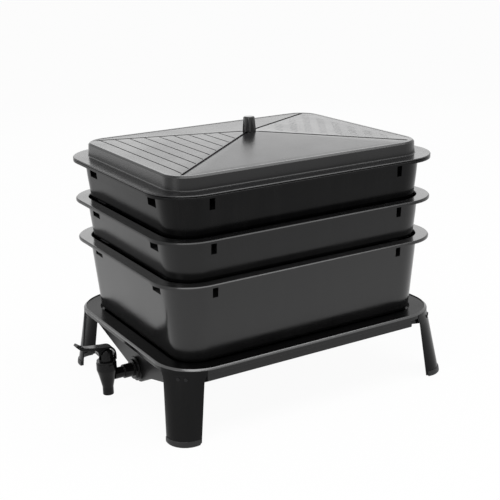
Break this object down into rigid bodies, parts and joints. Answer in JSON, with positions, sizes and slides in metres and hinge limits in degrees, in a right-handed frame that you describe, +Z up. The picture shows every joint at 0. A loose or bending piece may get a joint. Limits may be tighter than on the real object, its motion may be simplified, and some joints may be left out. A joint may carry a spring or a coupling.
{
  "type": "wormery",
  "caption": "Rectangular stacking worm composter with nested trays, a hipped lid with a knob, and a sloping collector base with a lever tap on splayed legs.",
  "frame": {"origin": "centre of the whole object's box, on the floor under the feet", "axes": "+Z up; +X along the trays, away from the tap; the tap is at the -X end; the pictured long side faces -Y"},
  "size_m": [0.6983, 0.4942, 0.524],
  "materials": {
    "bin_plastic": "moulded black polypropylene, satin with a fine grain",
    "leg_plastic": "moulded black polypropylene, satin",
    "foot_plastic": "moulded black plastic, slightly soft",
    "knob_plastic": "glossy black plastic",
    "tap_plastic": "semi-gloss black plastic",
    "seal_rubber": "black rubber",
    "black_steel": "black-coated steel screw heads",
    "zinc_steel": "zinc-plated steel"
  },
  "bodies": {
    "stand": {"collector_base": "bin_plastic", "front_left_leg": "leg_plastic", "front_left_foot_cap": "foot_plastic", "front_right_leg": "leg_plastic", "front_right_foot_cap": "foot_plastic", "back_right_leg": "leg_plastic", "back_right_foot_cap": "foot_plastic", "back_left_leg": "leg_plastic", "back_left_foot_cap": "foot_plastic", "leg_screws": "black_steel", "tap_body": "tap_plastic", "tap_gasket": "seal_rubber", "tap_inner_washer": "seal_rubber", "tap_lock_nut": "tap_plastic", "tap_bonnet": "tap_plastic", "tap_lever_pin": "zinc_steel"},
    "lower_bin": {"lower_tray": "bin_plastic"},
    "middle_bin": {"middle_tray": "bin_plastic"},
    "top_bin": {"top_tray": "bin_plastic"},
    "cover": {"lid": "bin_plastic", "lid_knob": "knob_plastic", "lid_knob_bolt": "zinc_steel", "lid_knob_washer": "zinc_steel"},
    "lever": {"tap_lever": "tap_plastic"},
    "plunger": {"tap_plunger": "tap_plastic", "tap_seat_seal": "seal_rubber"}
  },
  "joints": [
    {"name": "lower_tray_lift", "type": "slide", "parent": "stand", "child": "lower_bin", "axis": [0, 0, 1], "range_m": [0, 0.2]},
    {"name": "middle_tray_lift", "type": "slide", "parent": "lower_bin", "child": "middle_bin", "axis": [0, 0, 1], "range_m": [0, 0.12]},
    {"name": "top_tray_lift", "type": "slide", "parent": "middle_bin", "child": "top_bin", "axis": [0, 0, 1], "range_m": [0, 0.12]},
    {"name": "lid_lift", "type": "slide", "parent": "top_bin", "child": "cover", "axis": [0, 0, 1], "range_m": [0, 0.15]},
    {"name": "tap_lever_press", "type": "hinge", "parent": "stand", "child": "lever", "pos_m": [-0.2887, 0, 0.104], "axis": [0, -1, 0], "range_deg": [0, 25]},
    {"name": "tap_plunger_lift", "type": "slide", "parent": "stand", "child": "plunger", "axis": [0, 0, 1], "range_m": [0, 0.004]}
  ],
  "couplings": [
    {"joint": "tap_plunger_lift", "follows": "tap_lever_press", "m_per_rad": 0.00916}
  ]
}
